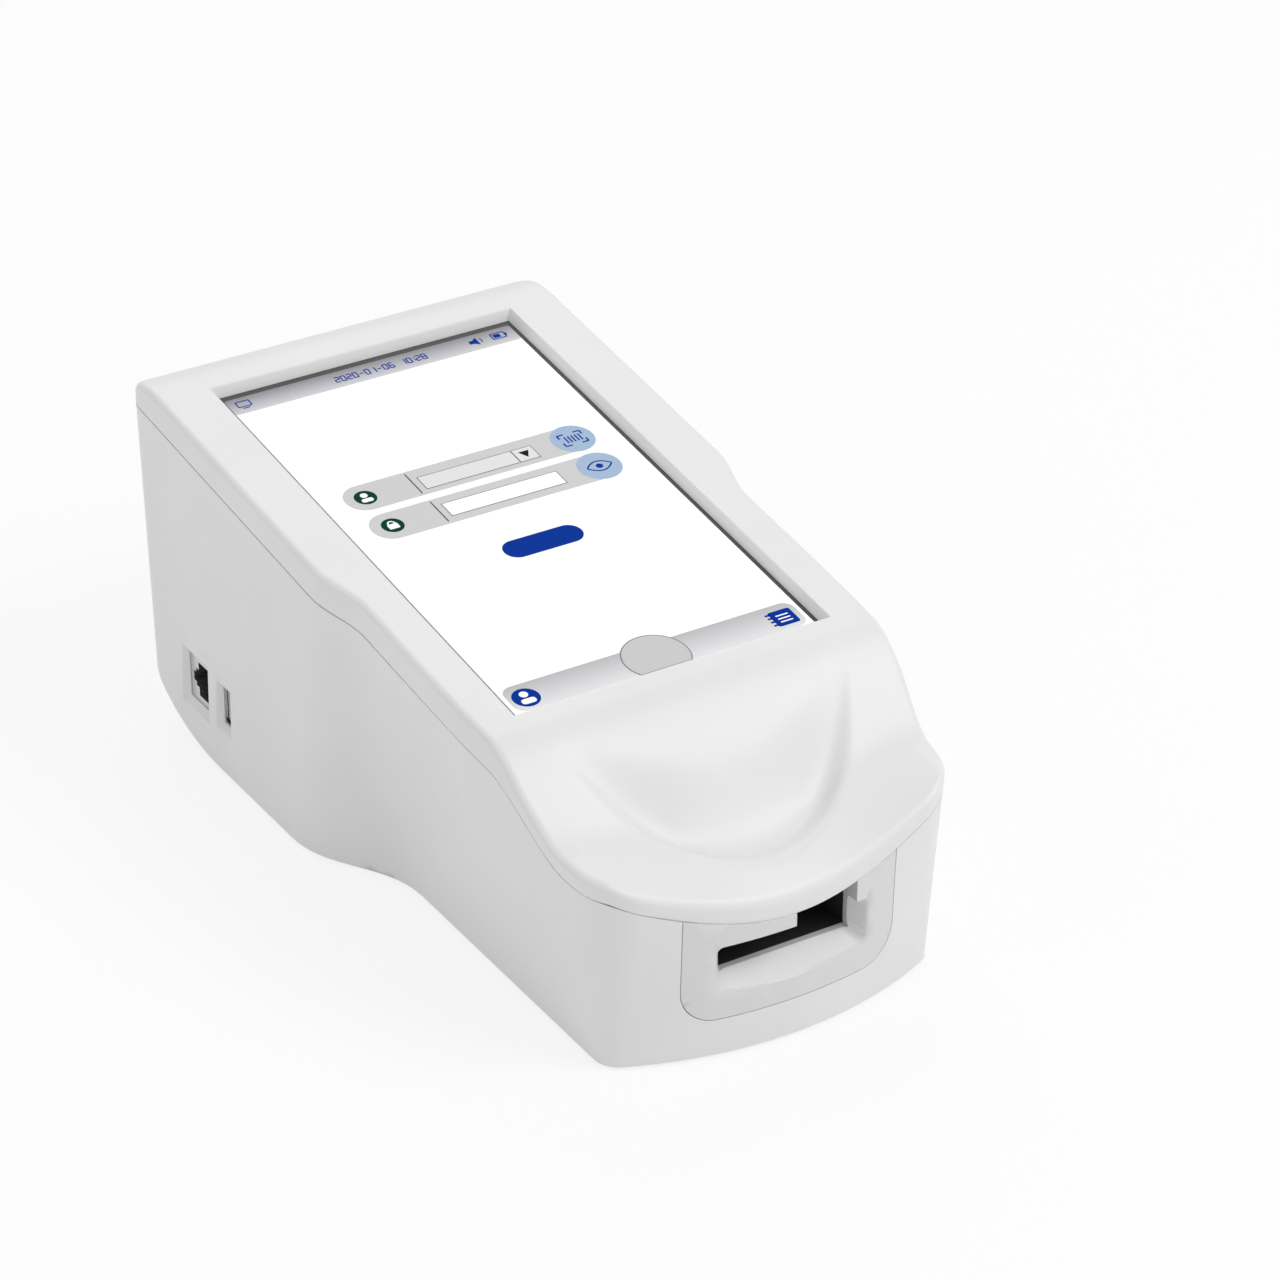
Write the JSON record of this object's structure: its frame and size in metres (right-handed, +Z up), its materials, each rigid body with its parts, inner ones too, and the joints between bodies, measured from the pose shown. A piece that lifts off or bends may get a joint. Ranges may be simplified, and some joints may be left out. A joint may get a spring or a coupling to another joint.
{
  "type": "veterinary blood chemistry analyzer",
  "caption": "Portable bench blood chemistry analyzer with sloped touch screen, card slot in the nose, side sockets and battery.",
  "frame": {"origin": "middle of the footprint on the bench, under the feet", "axes": "+Z up, +X the user's right, -Y towards the card slot in the nose, +Y the rear"},
  "size_m": [0.145, 0.271, 0.1113],
  "materials": {
    "shell_white": "satin, fine moulded grain",
    "panel_grey": "satin",
    "rubber_grey": "matte",
    "screw_steel": "zinc plated",
    "cover_glass": "polished, black printed border",
    "foam_black": "closed cell foam",
    "display_white": "backlit film",
    "pressed_steel": "bright pressed sheet",
    "board_green": "solder mask",
    "socket_metal": "nickel plated",
    "socket_black": "moulded",
    "button_grey": "satin",
    "battery_wrap": "shrink wrap",
    "guide_black": "moulded, low friction",
    "heater_alu": "machined",
    "contact_gold": "gold plated pins in a dark block",
    "rod_steel": "ground",
    "motor_case": "semi matte"
  },
  "bodies": {
    "housing": {"top_cover": "shell_white", "base_shell": "shell_white", "front_panel": "panel_grey", "battery_door": "shell_white", "rubber_feet": "rubber_grey", "cover_screws": "screw_steel", "door_screws": "screw_steel", "touch_glass": "cover_glass", "display_gasket": "foam_black", "display_panel": "display_white", "display_frame": "pressed_steel", "display_screws": "screw_steel", "main_board": "board_green", "board_screws": "screw_steel", "port_board": "board_green", "port_board_screws": "screw_steel", "ethernet_jack": "socket_metal", "usb_port": "socket_metal", "power_board": "board_green", "power_board_screws": "screw_steel", "dc_inlet": "socket_black", "power_switch": "socket_black", "battery_pack": "battery_wrap", "speaker": "socket_black", "card_guide": "guide_black", "guide_screws": "screw_steel", "heater_plate": "heater_alu", "lever_pin": "rod_steel", "clamp_frame": "pressed_steel", "clamp_screws": "screw_steel", "guide_rods": "rod_steel", "clamp_motor": "motor_case"},
    "card_clamp": {"clamp_carriage": "guide_black", "contact_block": "contact_gold"},
    "lead_screw": {"clamp_screw": "rod_steel"},
    "power_button": {"power_button": "button_grey"},
    "card_lever": {"card_lever": "button_grey"}
  },
  "joints": [
    {"name": "clamp_lift", "type": "slide", "parent": "housing", "child": "card_clamp", "axis": [0, 0, -1], "range_m": [0, 0.003]},
    {"name": "screw_turn", "type": "hinge", "parent": "housing", "child": "lead_screw", "pos_m": [0, -0.0672, 0.03], "axis": [0, 0, 1], "range_deg": [0, 540]},
    {"name": "button_press", "type": "slide", "parent": "housing", "child": "power_button", "axis": [0, -1, 0], "range_m": [0, 0.0015], "stiffness_N_per_m": 600, "springref_m": -0.0005},
    {"name": "lever_swing", "type": "hinge", "parent": "housing", "child": "card_lever", "pos_m": [0.012, -0.077, 0.0351], "axis": [1, 0, 0], "range_deg": [0, 22], "stiffness_Nm_per_rad": 0.004, "springref_deg": -5.73}
  ],
  "couplings": [
    {"joint": "screw_turn", "follows": "clamp_lift", "rad_per_m": 3141.6}
  ]
}
